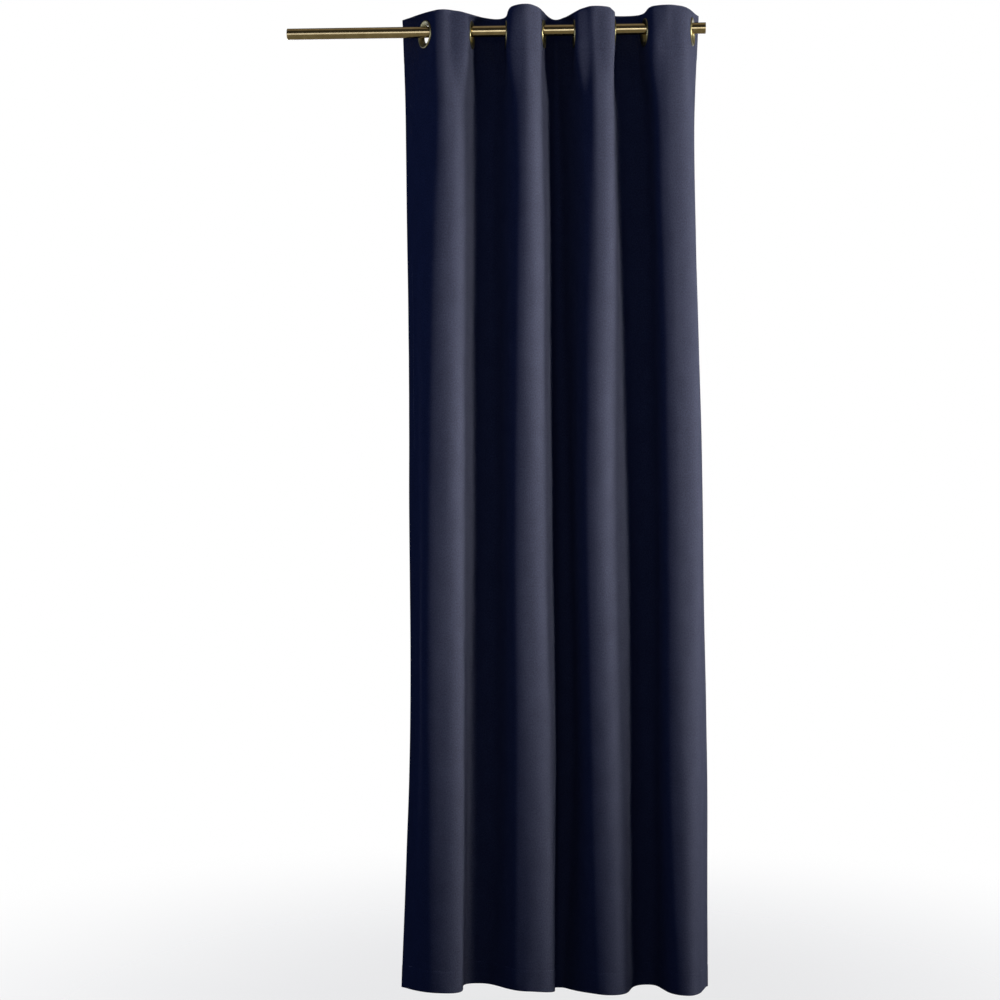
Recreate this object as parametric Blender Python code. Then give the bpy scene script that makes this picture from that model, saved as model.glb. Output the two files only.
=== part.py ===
"""A full-length velvet eyelet curtain, hanging in four soft folds from a round rod.

Units are metres and +Z is up. X runs along the rod, -Y is the front of the curtain, and the
origin lies on the rod's axis above the middle of the cloth. The cloth is one width with a
stiffened heading strip that holds eight two-part eyelets, threaded on the rod so that the folds
come forward and go back in turn.
"""

import math
from collections import namedtuple

import bmesh
import bpy
import numpy as np
from mathutils import Matrix, Vector

# Rod
ROD_RADIUS = 0.014
ROD_LEFT_END = -0.665
ROD_RIGHT_END = 0.385
ROD_CHAMFER = 0.0008
ROD_SIDES = 32

# Cloth, as cut
CUT_WIDTH = 1.400
EYELET_COUNT = 8
EYELET_PITCH = 0.178
SIDE_MARGIN = (CUT_WIDTH - EYELET_PITCH * (EYELET_COUNT - 1)) / 2
END_TURN = SIDE_MARGIN + EYELET_PITCH / 2
PANEL_THICKNESS = 0.002
HEADING_THICKNESS = 0.003

# Heights on the cloth, above the rod's axis
HEADING_TOP = 0.048
HEADING_FOOT = -0.065
HEM = -2.400
SEAM_GAP = 0.0003

# Eyelets. The rings are turned; "reach" runs along the eyelet's axis from the cloth's middle.
EYELET_BORE = 0.0235
BARREL_RADIUS = 0.0256
FLANGE_RADIUS = 0.0350
BARREL_BACK_REACH = 0.0085
BACK_RING_REACH = 0.0050
FLANGE_CROWN_REACH = 0.0046
PIECE_GAP = 0.0003
CLOTH_HOLE_RADIUS = 0.0261
ROD_CLEARANCE = 0.0004
RING_EDGE_ROUND = 0.0012
FLANGE_EDGE_HEIGHT = 0.0016
RING_SIDES = 28
FLANGE_SEAT = HEADING_THICKNESS / 2 + PIECE_GAP
PUNCH_DEPTH = HEADING_THICKNESS * 4

# The cloth is pressed flat in a square patch under each eyelet. Beyond it the cloth eases into its
# fold, more slowly below than above.
PATCH_HALF = 0.039
PATCH_EASE_ACROSS = 0.040
PATCH_EASE_ABOVE = 0.022
PATCH_EASE_BELOW = 0.150

# Mesh spacing across the cloth and down it
PATCH_COLUMNS = 4
FOLD_COLUMNS = 7
EDGE_COLUMNS = 2
PANEL_ROW_DROPS = (0.0, 0.015, 0.035, 0.065, 0.115, 0.195)
PANEL_LONG_ROWS = 10
CURVE_STEPS = 64
HALVINGS = 32
SHARP_ANGLE = math.radians(50)

# The rises given to the top edge and the hem fade out over these heights.
TOP_RISE_FADE = 0.020
HEM_RISE_FADE = 0.200

# Each turn of the cloth, from left to right: the crests of the folds, the hollows between them and
# the two side edges. x_ is the turn's place along the rod at five heights, and y_ its depth at three.
# round_ is how broadly the cloth turns there, skew_hem how much more broadly on its right side than
# on its left at the hem, and rise_ lifts the top edge and the hem.
Turn = namedtuple(
    "Turn",
    "name x_top x_upper x_middle x_lower x_hem y_top y_middle y_hem round_top round_hem skew_hem"
    " rise_top rise_hem",
)
TURNS = (
    Turn("left edge", -.380, -.370, -.360, -.360, -.380, .065, .040, .045, 0.5, 0.5, 0.0, .000, -.010),
    Turn("fold 1", -.265, -.255, -.255, -.255, -.265, -.050, -.070, -.065, 0.8, 0.8, 0.0, -.005, .005),
    Turn("hollow 1", -.140, -.155, -.160, -.165, -.180, .070, .060, .055, 0.8, 0.8, 0.0, .000, .000),
    Turn("fold 2", -.060, -.055, -.055, -.050, -.050, -.070, -.065, -.055, 1.1, 1.0, 0.0, .000, .010),
    Turn("hollow 2", .010, .015, .030, .040, .025, .085, .070, .065, 0.7, 0.6, 0.0, .000, -.010),
    Turn("fold 3", .105, .115, .120, .135, .145, -.060, -.065, -.060, 0.9, 1.0, -0.2, -.005, .005),
    Turn("hollow 3", .185, .205, .230, .240, .245, .060, .060, .065, 0.9, 0.7, 0.0, .000, .000),
    Turn("fold 4", .285, .300, .320, .325, .340, -.060, -.070, -.070, 0.8, 0.9, -0.2, -.005, .010),
    Turn("right edge", .370, .360, .380, .390, .395, .070, .060, .080, 0.5, 0.5, 0.0, .000, -.005),
)
X_HEIGHTS = (HEADING_TOP, -0.25, -1.20, -1.80, HEM)
Y_HEIGHTS = (HEADING_TOP, -1.20, HEM)
# How far each side edge's cloth turns away from the rod's line, in degrees, at the top and the hem
LEFT_EDGE_LEANS = (-40, -30)
RIGHT_EDGE_LEANS = (60, 45)

# Each eyelet's place along the rod, and how steeply the cloth crosses the rod there
Crossing = namedtuple("Crossing", "x degrees")
CROSSINGS = (
    Crossing(-.315, 58),
    Crossing(-.200, 85),
    Crossing(-.110, 85),
    Crossing(-.020, 85),
    Crossing(.060, 85),
    Crossing(.155, 95),
    Crossing(.235, 77),
    Crossing(.350, 80),
)

VELVET = dict(name="navy velvet", color=(0.028, 0.033, 0.062), roughness=0.95, metallic=0.0)
ROD_BRASS = dict(name="brushed antique brass", color=(0.34, 0.25, 0.13), roughness=0.38, metallic=1.0)
EYELET_BRASS = dict(name="eyelet brass", color=(0.42, 0.33, 0.16), roughness=0.42, metallic=1.0)


def clear_scene():
    for obj in list(bpy.data.objects):
        bpy.data.objects.remove(obj, do_unlink=True)


def material(name, color, roughness, metallic):
    made = bpy.data.materials.new(name)
    made.use_nodes = True
    shader = made.node_tree.nodes["Principled BSDF"]
    shader.inputs["Base Color"].default_value = (*color, 1.0)
    shader.inputs["Roughness"].default_value = roughness
    shader.inputs["Metallic"].default_value = metallic
    return made


def add_object(name, mesh, finish, parent):
    obj = bpy.data.objects.new(name, mesh)
    bpy.context.scene.collection.objects.link(obj)
    if finish and not mesh.materials:
        mesh.materials.append(finish)
    obj.parent = parent
    return obj


def ease(fraction):
    """A smooth step from 0 to 1."""
    fraction = min(max(fraction, 0.0), 1.0)
    return fraction * fraction * (3 - 2 * fraction)


def smooth_value(heights, values, height):
    """The value at a height on a smooth curve through values given from the top down."""
    at = min(max(height, heights[-1]), heights[0])
    span = next(i for i in range(len(heights) - 1) if at >= heights[i + 1])
    drop = heights[span + 1] - heights[span]
    t = (at - heights[span]) / drop

    def slope(i):
        before, after = max(i - 1, 0), min(i + 1, len(heights) - 1)
        return (values[after] - values[before]) / (heights[after] - heights[before])

    t2, t3 = t * t, t * t * t
    return (
        (2 * t3 - 3 * t2 + 1) * values[span]
        + (t3 - 2 * t2 + t) * slope(span) * drop
        + (3 * t2 - 2 * t3) * values[span + 1]
        + (t3 - t2) * slope(span + 1) * drop
    )


def drop_fraction(height):
    """How far down the curtain a height lies, from 0 at the top edge to 1 at the hem."""
    return min(max((HEADING_TOP - height) / (HEADING_TOP - HEM), 0.0), 1.0)


def lean_at(leans, height):
    down = drop_fraction(height)
    return math.radians(leans[0] * (1 - down) + leans[1] * down)


def turns_at(height):
    """The (x, y, roundness to its left, roundness to its right) of every turn at this height."""
    down = drop_fraction(height)
    found = []
    for turn in TURNS:
        places = (turn.x_top, turn.x_upper, turn.x_middle, turn.x_lower, turn.x_hem)
        depths = (turn.y_top, turn.y_middle, turn.y_hem)
        x = smooth_value(X_HEIGHTS, places, height)
        y = smooth_value(Y_HEIGHTS, depths, height)
        roundness = turn.round_top * (1 - down) + turn.round_hem * down
        skew = turn.skew_hem * down
        found.append((x, y, roundness * (1 - skew), roundness * (1 + skew)))
    return found


def flank(start, end, reach, start_lean, end_lean):
    """The S-shaped run of cloth between two turns, as rows of points. The reach scales its two
    Bezier handles, each of which runs along the rod or at its turn's lean from it."""
    t = np.linspace(0, 1, CURVE_STEPS + 1)[:, None]
    first = np.array(start[:2])
    last = np.array(end[:2])
    leave = first + reach * start[3] * np.array([math.cos(start_lean), math.sin(start_lean)])
    arrive = last - reach * end[2] * np.array([math.cos(end_lean), math.sin(end_lean)])
    u = 1 - t
    return u**3 * first + 3 * u * u * t * leave + 3 * u * t * t * arrive + t**3 * last


def run_lengths(points):
    """How far along a run of points each one lies."""
    steps = np.hypot(*np.diff(points, axis=0).T)
    return np.concatenate([[0.0], np.cumsum(steps)])


def flank_of_length(start, end, length, start_lean, end_lean):
    """The flank whose handles are just long enough for it to take up this length of cloth."""
    low, high = 0.0, length * 2
    for _ in range(HALVINGS):
        reach = (low + high) / 2
        if run_lengths(flank(start, end, reach, start_lean, end_lean))[-1] < length:
            low = reach
        else:
            high = reach
    return flank(start, end, low, start_lean, end_lean)


def row_at(height):
    """The cloth's plan at one height: how far across the cut width, x and y, at close points."""
    turns = turns_at(height)
    runs = []
    across = 0.0
    for i, (start, end) in enumerate(zip(turns, turns[1:])):
        outer = i in (0, len(turns) - 2)
        length = END_TURN if outer else EYELET_PITCH
        start_lean = lean_at(LEFT_EDGE_LEANS, height) if i == 0 else 0.0
        end_lean = lean_at(RIGHT_EDGE_LEANS, height) if i == len(turns) - 2 else 0.0
        points = flank_of_length(start, end, length, start_lean, end_lean)
        reached = run_lengths(points)
        placed = across + reached / reached[-1] * length
        runs.append(np.column_stack([placed, points])[(1 if i else 0):])
        across += length
    return np.concatenate(runs)


def at_across(row, across):
    """The cloth's (x, y) at a place across its cut width, in a row from row_at."""
    return np.array([np.interp(across, row[:, 0], row[:, 1]), np.interp(across, row[:, 0], row[:, 2])])


def rod_fits(angle, drop):
    """Whether the rod clears the bore of an eyelet that hangs this far below its axis."""
    shift = BARREL_BACK_REACH / math.tan(angle)
    for step in range(CURVE_STEPS):
        around = 2 * math.pi * step / CURVE_STEPS
        along = abs(ROD_RADIUS / math.sin(angle) * math.cos(around)) + abs(shift)
        above = drop + ROD_RADIUS * math.sin(around)
        if math.hypot(along, above) > EYELET_BORE - ROD_CLEARANCE:
            return False
    return True


def hanging_drop(angle):
    """How far below the rod's axis an eyelet's centre hangs, its bore resting on the rod."""
    low, high = 0.0, EYELET_BORE
    for _ in range(HALVINGS):
        drop = (low + high) / 2
        if rod_fits(angle, drop):
            low = drop
        else:
            high = drop
    return low


Eyelet = namedtuple("Eyelet", "across centre along drop")


def eyelets():
    """Each eyelet's place on the cloth, its centre, the way the cloth runs there and its drop."""
    found = []
    for i, crossing in enumerate(CROSSINGS):
        across = SIDE_MARGIN + EYELET_PITCH * i
        angle = math.radians(crossing.degrees)
        drop = hanging_drop(angle)
        forward = 1 if i % 2 == 0 else -1
        along = Vector((math.cos(angle), -forward * math.sin(angle), 0.0))
        found.append(Eyelet(across, Vector((crossing.x, 0.0, -drop)), along, drop))
    return found


def edge_rise(across, name):
    """The lift of the top edge or the hem at a place across the cloth."""
    places = [0.0] + [END_TURN + EYELET_PITCH * i for i in range(len(TURNS) - 2)] + [CUT_WIDTH]
    i = min(int(np.searchsorted(places, across, side="right")) - 1, len(places) - 2)
    t = ease((across - places[i]) / (places[i + 1] - places[i]))
    return getattr(TURNS[i], name) * (1 - t) + getattr(TURNS[i + 1], name) * t


def patch_level(held):
    """The height of the middle of every flat patch, at the eyelets' mean drop."""
    return -sum(eyelet.drop for eyelet in held) / len(held)


def cloth_point(row, across, height, held):
    """The cloth's middle surface at a place across and a height, with its eyelets' flat patches."""
    x, y = at_across(row, across)
    point = Vector((x, y, height))
    level = patch_level(held)
    away = abs(height - level)
    ease_along = PATCH_EASE_ABOVE if height > level else PATCH_EASE_BELOW
    for eyelet in held:
        aside = abs(across - eyelet.across)
        past = math.hypot(
            max(aside - PATCH_HALF, 0.0) / PATCH_EASE_ACROSS,
            max(away - PATCH_HALF, 0.0) / ease_along,
        )
        pressed = 1 - ease(past)
        if pressed > 0:
            flat = eyelet.centre + eyelet.along * (across - eyelet.across)
            flat.z = height
            point = point.lerp(flat, pressed)
    top = min(max((height - HEADING_TOP + TOP_RISE_FADE) / TOP_RISE_FADE, 0.0), 1.0)
    foot = min(max((HEM + HEM_RISE_FADE - height) / HEM_RISE_FADE, 0.0), 1.0)
    point.z += top * edge_rise(across, "rise_top") + foot * edge_rise(across, "rise_hem")
    return point


def column_places():
    """Where the mesh's columns lie across the cloth: even in each patch and between the patches."""
    centres = [SIDE_MARGIN + EYELET_PITCH * i for i in range(EYELET_COUNT)]
    stops = [0.0]
    counts = []
    for i, centre in enumerate(centres):
        counts += [EDGE_COLUMNS if i == 0 else FOLD_COLUMNS, PATCH_COLUMNS]
        stops += [centre - PATCH_HALF, centre + PATCH_HALF]
    counts.append(EDGE_COLUMNS)
    stops.append(CUT_WIDTH)
    places = [0.0]
    for start, end, count in zip(stops, stops[1:], counts):
        places += [start + (end - start) * (k + 1) / count for k in range(count)]
    return places


def row_fronts(points):
    """At each point of a row, the level direction that faces the front of the cloth."""
    fronts = []
    for i in range(len(points)):
        along = points[min(i + 1, len(points) - 1)] - points[max(i - 1, 0)]
        fronts.append(Vector((along.y, -along.x, 0.0)).normalized())
    return fronts


def cloth_mesh(name, heights, held, thickness):
    """A closed strip of the cloth between its first and last heights, with level cut edges."""
    places = column_places()
    last = len(places) - 1
    shape = bmesh.new()
    front, back = [], []
    for height in heights:
        row = row_at(height)
        points = [cloth_point(row, across, height, held) for across in places]
        halves = [way * (thickness / 2) for way in row_fronts(points)]
        front.append([shape.verts.new(point + half) for point, half in zip(points, halves)])
        back.append([shape.verts.new(point - half) for point, half in zip(points, halves)])
    for j in range(len(heights) - 1):
        for i in range(last):
            shape.faces.new((front[j][i], front[j + 1][i], front[j + 1][i + 1], front[j][i + 1]))
            shape.faces.new((back[j][i], back[j][i + 1], back[j + 1][i + 1], back[j + 1][i]))
        shape.faces.new((front[j][0], back[j][0], back[j + 1][0], front[j + 1][0]))
        shape.faces.new((front[j][last], front[j + 1][last], back[j + 1][last], back[j][last]))
    for i in range(last):
        shape.faces.new((front[0][i], front[0][i + 1], back[0][i + 1], back[0][i]))
        shape.faces.new((front[-1][i], back[-1][i], back[-1][i + 1], front[-1][i + 1]))
    mesh = bpy.data.meshes.new(name)
    shape.to_mesh(mesh)
    shape.free()
    mesh.shade_smooth()
    mesh.set_sharp_from_angle(angle=SHARP_ANGLE)
    return mesh


def add_panel(held, finish, parent):
    """The long panel from just under the heading to the hem."""
    top = HEADING_FOOT - SEAM_GAP
    heights = [top - drop for drop in PANEL_ROW_DROPS]
    step = (heights[-1] - HEM) / PANEL_LONG_ROWS
    heights += [heights[-1] - step * (i + 1) for i in range(PANEL_LONG_ROWS)]
    add_object("panel", cloth_mesh("panel", heights, held, PANEL_THICKNESS), finish, parent)


def add_heading(held, finish, parent):
    """The stiffened strip that holds the eyelets, with a round hole for each."""
    centre = patch_level(held)
    patch_top, patch_foot = centre + PATCH_HALF, centre - PATCH_HALF
    heights = [HEADING_TOP, (HEADING_TOP + patch_top) / 2]
    heights += [patch_top + (patch_foot - patch_top) * k / PATCH_COLUMNS for k in range(PATCH_COLUMNS + 1)]
    heights.append(HEADING_FOOT)
    heading = add_object("heading", cloth_mesh("heading", heights, held, HEADING_THICKNESS), finish, parent)
    for i, eyelet in enumerate(held):
        punch = add_object(f"punch_{i + 1}", disc_mesh(f"punch_{i + 1}"), None, parent)
        punch.hide_render = True
        punch.display_type = "WIRE"
        place_ring(punch, eyelet)
        cut = heading.modifiers.new(f"hole_{i + 1}", "BOOLEAN")
        cut.operation = "DIFFERENCE"
        cut.object = punch


def disc_mesh(name):
    """The punch for one hole, a short drum round its own Z axis."""
    shape = bmesh.new()
    bmesh.ops.create_cone(
        shape,
        cap_ends=True,
        segments=RING_SIDES,
        radius1=CLOTH_HOLE_RADIUS,
        radius2=CLOTH_HOLE_RADIUS,
        depth=PUNCH_DEPTH,
    )
    mesh = bpy.data.meshes.new(name)
    shape.to_mesh(mesh)
    shape.free()
    return mesh


def turned_mesh(name, profile, sides):
    """A closed profile of (radius, reach) points turned round the Z axis."""
    shape = bmesh.new()
    rings = []
    for k in range(sides):
        around = 2 * math.pi * k / sides
        turn = (math.cos(around), math.sin(around))
        rings.append([shape.verts.new((r * turn[0], r * turn[1], z)) for r, z in profile])
    count = len(profile)
    for ring, after in zip(rings, rings[1:] + rings[:1]):
        for j in range(count):
            shape.faces.new((ring[j], after[j], after[(j + 1) % count], ring[(j + 1) % count]))
    bmesh.ops.recalc_face_normals(shape, faces=shape.faces)
    mesh = bpy.data.meshes.new(name)
    shape.to_mesh(mesh)
    shape.free()
    mesh.shade_smooth()
    mesh.set_sharp_from_angle(angle=SHARP_ANGLE)
    return mesh


def place_ring(obj, eyelet):
    """Set a ring's centre and turn its Z axis to the cloth's front."""
    front = Vector((0, 0, 1)).cross(eyelet.along) * -1
    turn = Matrix((eyelet.along, front.cross(eyelet.along), front)).transposed()
    obj.location = eyelet.centre
    obj.rotation_euler = turn.to_euler()


def add_eyelets(held, finish, parent):
    """A front ring with its barrel and a back ring for each eyelet."""
    crown = (BARREL_RADIUS + FLANGE_RADIUS) / 2
    front_profile = (
        (EYELET_BORE, -BARREL_BACK_REACH),
        (EYELET_BORE, FLANGE_SEAT + RING_EDGE_ROUND),
        (EYELET_BORE + RING_EDGE_ROUND, FLANGE_CROWN_REACH - RING_EDGE_ROUND / 2),
        (crown - RING_EDGE_ROUND, FLANGE_CROWN_REACH),
        (FLANGE_RADIUS - RING_EDGE_ROUND, FLANGE_SEAT + FLANGE_EDGE_HEIGHT),
        (FLANGE_RADIUS, FLANGE_SEAT),
        (BARREL_RADIUS, FLANGE_SEAT),
        (BARREL_RADIUS, -BARREL_BACK_REACH),
    )
    back_profile = (
        (CLOTH_HOLE_RADIUS, -BACK_RING_REACH),
        (CLOTH_HOLE_RADIUS, -FLANGE_SEAT),
        (FLANGE_RADIUS, -FLANGE_SEAT),
        (FLANGE_RADIUS - RING_EDGE_ROUND, -BACK_RING_REACH),
    )
    front_mesh = turned_mesh("eyelet front ring", front_profile, RING_SIDES)
    back_mesh = turned_mesh("eyelet back ring", back_profile, RING_SIDES)
    for i, eyelet in enumerate(held):
        for side, mesh in (("front", front_mesh), ("back", back_mesh)):
            place_ring(add_object(f"eyelet_{i + 1}_{side}", mesh, finish, parent), eyelet)


def add_rod(finish, parent):
    """The round rod, cut square at both ends with a small chamfer."""
    length = ROD_RIGHT_END - ROD_LEFT_END
    shape = bmesh.new()
    bmesh.ops.create_cone(
        shape, cap_ends=True, segments=ROD_SIDES, radius1=ROD_RADIUS, radius2=ROD_RADIUS, depth=length
    )
    rims = [edge for edge in shape.edges if abs(edge.verts[0].co.z - edge.verts[1].co.z) < length / 2]
    bmesh.ops.bevel(shape, geom=rims, offset=ROD_CHAMFER, segments=1, affect="EDGES")
    mesh = bpy.data.meshes.new("rod")
    shape.to_mesh(mesh)
    shape.free()
    mesh.shade_smooth()
    mesh.set_sharp_from_angle(angle=SHARP_ANGLE / 2)
    rod = add_object("rod", mesh, finish, parent)
    rod.location = ((ROD_LEFT_END + ROD_RIGHT_END) / 2, 0, 0)
    rod.rotation_euler = (0, math.pi / 2, 0)


def main():
    clear_scene()
    hung = bpy.data.objects.new("hung_curtain", None)
    bpy.context.scene.collection.objects.link(hung)
    velvet = material(**VELVET)
    held = eyelets()
    add_rod(material(**ROD_BRASS), hung)
    add_heading(held, velvet, hung)
    add_panel(held, velvet, hung)
    add_eyelets(held, material(**EYELET_BRASS), hung)


main()
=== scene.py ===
"""Looks of a full-length navy velvet eyelet curtain that hangs in four soft folds from a brass rod.

Units are metres and +Z is up. X runs along the rod, -Y is the front, and the origin lies on the
rod's axis above the middle of the cloth. A place on the cloth is named by how far across the cut
width it lies and by its height above the rod's axis.
"""

import math
from collections import namedtuple

import bmesh
import bpy
import numpy as np
from mathutils import Matrix, Vector


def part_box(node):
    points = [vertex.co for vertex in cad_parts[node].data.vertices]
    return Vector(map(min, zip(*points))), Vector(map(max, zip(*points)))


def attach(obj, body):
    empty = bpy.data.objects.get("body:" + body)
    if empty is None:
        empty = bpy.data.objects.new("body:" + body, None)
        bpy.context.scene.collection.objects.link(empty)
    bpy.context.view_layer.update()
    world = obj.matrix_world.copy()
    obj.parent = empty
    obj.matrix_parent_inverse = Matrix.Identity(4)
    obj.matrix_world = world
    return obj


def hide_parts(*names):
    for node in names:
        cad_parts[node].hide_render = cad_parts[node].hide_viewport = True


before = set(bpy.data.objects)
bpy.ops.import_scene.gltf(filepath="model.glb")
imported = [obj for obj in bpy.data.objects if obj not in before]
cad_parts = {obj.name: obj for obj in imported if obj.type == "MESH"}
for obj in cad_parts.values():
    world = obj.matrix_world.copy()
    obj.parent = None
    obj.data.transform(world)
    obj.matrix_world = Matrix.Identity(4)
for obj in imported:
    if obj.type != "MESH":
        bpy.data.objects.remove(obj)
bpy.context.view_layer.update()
BODY = "root"

# Cloth, as cut and sewn
CUT_WIDTH = 1.400
EYELET_COUNT = 8
EYELET_PITCH = 0.178
SIDE_MARGIN = (CUT_WIDTH - EYELET_PITCH * (EYELET_COUNT - 1)) / 2
END_TURN = SIDE_MARGIN + EYELET_PITCH / 2
HEADING_TOP = 0.048
HEADING_SEAM = -0.065
HEM = -2.400
HEM_TURN_UP = 0.055
HEM_SEAM = HEM + HEM_TURN_UP
SIDE_HEM = 0.024
CLOTH_THICKNESS = 0.0012
LAYER_OFFSET = 0.0007
SINGLE_OFFSET = 0.0002
HEM_STEP = 0.006
SIDE_HEM_END_GAP = 0.001
SIDE_HEM_CLEARANCE = 0.0002

# Eyelets. The rings are turned; "reach" runs along the eyelet's axis from the cloth's middle.
EYELET_BORE = 0.0235
BARREL_RADIUS = 0.0256
FLANGE_RADIUS = 0.0350
BARREL_BACK_REACH = 0.0085
BACK_RING_REACH = 0.0050
FLANGE_CROWN_REACH = 0.0046
FLANGE_SEAT = 0.0018
CLOTH_HOLE_RADIUS = 0.0261
HOLE_CUT_DEPTH = 0.016
RIM_ROUND = 0.0022
DISH_DEPTH = 0.0046
DISH_CURVE = 1.7
FLANGE_UNDERCUT = 0.0040
BARREL_SHOULDER = 0.0028
RING_SIDES = 96
FRONT_RIM_STEPS = 8
BACK_RIM_STEPS = 6
DISH_STEPS = 10

ROD_RADIUS = 0.014
ROD_WALL = 0.0012
ROD_END_ROUND = 0.0006
ROD_SIDES = 96

# The cloth is pressed flat in a square patch under each eyelet. Beyond it the cloth eases into its
# fold, more slowly below than above.
PATCH_HALF = 0.039
PATCH_EASE_ACROSS = 0.040
PATCH_EASE_ABOVE = 0.022
PATCH_EASE_BELOW = 0.150

# Mesh spacing
COLUMNS = 270
BODY_ROWS = 104
HEADING_ROWS = 15
HEM_ROWS = 5
BACK_HEADING_ROWS = 14
BACK_HEM_ROWS = 8
SIDE_HEM_ROWS = 110
SIDE_HEM_COLUMNS = 6
CURVE_STEPS = 64
HALVINGS = 32
CLOTH_SHARP_ANGLE = math.radians(60)
BRASS_SHARP_ANGLE = math.radians(40)

# The sheet's rows close beside its folded edges and its two level seams
EDGE_ROW_GAP = 0.004
FIRST_HEADING_ROW = 0.009
FIRST_HEM_ROW = 0.022
BODY_ROW_GAP = 0.024
SEAM_ROWS = (0.014, 0.008, 0.004, 0.0015, -0.0015, -0.004, -0.008, -0.014)

# Stitches, each a short thread that dips into the cloth at both ends
STITCH_LENGTH = 0.0030
STITCH_PITCH = 0.0042
STITCH_RADIUS = 0.00028
STITCH_SIDES = 6
STITCH_SINK = 1.1
STITCH_AHEAD = 0.0004
STITCH_SHAPE = ((-0.5, 0.25), (-0.3, 0.9), (0.0, 1.0), (0.3, 0.9), (0.5, 0.25))
LEVEL_SEAM_POINTS = 900
LEVEL_SEAM_END_GAP = 0.004
SIDE_SEAM_POINTS = 400
SIDE_SEAM_END_GAP = 0.006
SEAM_SAMPLE = 0.002

TOP_RISE_FADE = 0.020
HEM_RISE_FADE = 0.200

# Each turn of the cloth, from left to right, as in the construction: x_ is its place along the rod
# at five heights and y_ its depth at three, round_ how broadly the cloth turns there, skew_hem how
# much more broadly on its right side at the hem, and rise_ lifts the top edge and hem.
Turn = namedtuple(
    "Turn",
    "name x_top x_upper x_middle x_lower x_hem y_top y_middle y_hem round_top round_hem skew_hem"
    " rise_top rise_hem",
)
TURNS = (
    Turn("left edge", -.380, -.370, -.360, -.360, -.380, .065, .040, .045, 0.5, 0.5, 0.0, .000, -.010),
    Turn("fold 1", -.265, -.255, -.255, -.255, -.265, -.050, -.070, -.065, 0.8, 0.8, 0.0, -.005, .005),
    Turn("hollow 1", -.140, -.155, -.160, -.165, -.180, .070, .060, .055, 0.8, 0.8, 0.0, .000, .000),
    Turn("fold 2", -.060, -.055, -.055, -.050, -.050, -.070, -.065, -.055, 1.1, 1.0, 0.0, .000, .010),
    Turn("hollow 2", .010, .015, .030, .040, .025, .085, .070, .065, 0.7, 0.6, 0.0, .000, -.010),
    Turn("fold 3", .105, .115, .120, .135, .145, -.060, -.065, -.060, 0.9, 1.0, -0.2, -.005, .005),
    Turn("hollow 3", .185, .205, .230, .240, .245, .060, .060, .065, 0.9, 0.7, 0.0, .000, .000),
    Turn("fold 4", .285, .300, .320, .325, .340, -.060, -.070, -.070, 0.8, 0.9, -0.2, -.005, .010),
    Turn("right edge", .370, .360, .380, .390, .395, .070, .060, .080, 0.5, 0.5, 0.0, .000, -.005),
)
X_HEIGHTS = (HEADING_TOP, -0.25, -1.20, -1.80, HEM)
Y_HEIGHTS = (HEADING_TOP, -1.20, HEM)
LEFT_EDGE_LEANS = (-40, -30)
RIGHT_EDGE_LEANS = (60, 45)

# Each eyelet's place along the rod, how steeply the cloth crosses the rod there, and its drop
Crossing = namedtuple("Crossing", "x degrees drop")
CROSSINGS = (
    Crossing(-.315, 58, .0052),
    Crossing(-.200, 85, .0091),
    Crossing(-.110, 85, .0091),
    Crossing(-.020, 85, .0091),
    Crossing(.060, 85, .0091),
    Crossing(.155, 95, .0091),
    Crossing(.235, 77, .0089),
    Crossing(.350, 80, .0090),
)

# Soft ridges (lift above 0) and troughs (lift below 0) that run over the folds. Each passes
# through its points, which are (across, height, lift).
Crease = namedtuple("Crease", "name width points")
CREASES = (
    Crease("ridge of fold 1", 0.016, (
        (.155, 0.04, .003), (.150, -0.10, .003), (.140, -0.40, .0015), (.125, -1.00, .001),
        (.125, -1.70, .0015), (.135, -2.38, .002),
    )),
    Crease("ridge of fold 2", 0.016, (
        (.520, 0.045, .002), (.480, -0.02, .003), (.480, -0.12, .003), (.490, -0.40, .001),
        (.490, -1.00, .0015), (.490, -1.70, .002), (.480, -2.38, .003),
    )),
    Crease("ridge of fold 3", 0.016, (
        (.885, 0.04, .002), (.840, -0.06, .001), (.830, -0.12, .003), (.840, -0.40, .002),
        (.840, -1.00, .001), (.845, -1.70, .0015), (.850, -2.38, .002),
    )),
    Crease("ridge of fold 4", 0.016, (
        (1.240, 0.04, .002), (1.200, -0.06, .002), (1.190, -0.12, .003), (1.190, -0.40, .002),
        (1.190, -1.00, .001), (1.190, -1.70, .0015), (1.215, -2.38, .002),
    )),
    Crease("ridge beside the left edge", 0.010, (
        (.030, -0.12, .000), (.030, -0.40, .002), (.030, -1.20, .0015), (.030, -2.20, .001),
    )),
)


# The creases fade out beside the eyelets.
CREASE_EYELET_GAP = 0.002
CREASE_EYELET_FADE = 0.018

# Soft noise on the velvet's face: the size of its features, its lift and its seed
Ripple = namedtuple("Ripple", "cell_across cell_height lift seed")
UNDULATIONS = (
    Ripple(0.055, 0.260, 0.0016, 11),
    Ripple(0.022, 0.090, 0.0006, 12),
)
UNDULATION_START = 0.02
UNDULATION_FADE = 0.25
PUCKER = Ripple(0.011, 0.030, 0.0005, 13)
PUCKER_REACH = 0.012
STITCH_PULL = 0.0005
STITCH_PULL_REACH = 0.0025


# ---------------------------------------------------------------- helpers

def ease(fraction):
    """A smooth step from 0 to 1, for numbers and arrays."""
    fraction = np.clip(fraction, 0.0, 1.0)
    return fraction * fraction * (3 - 2 * fraction)


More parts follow.
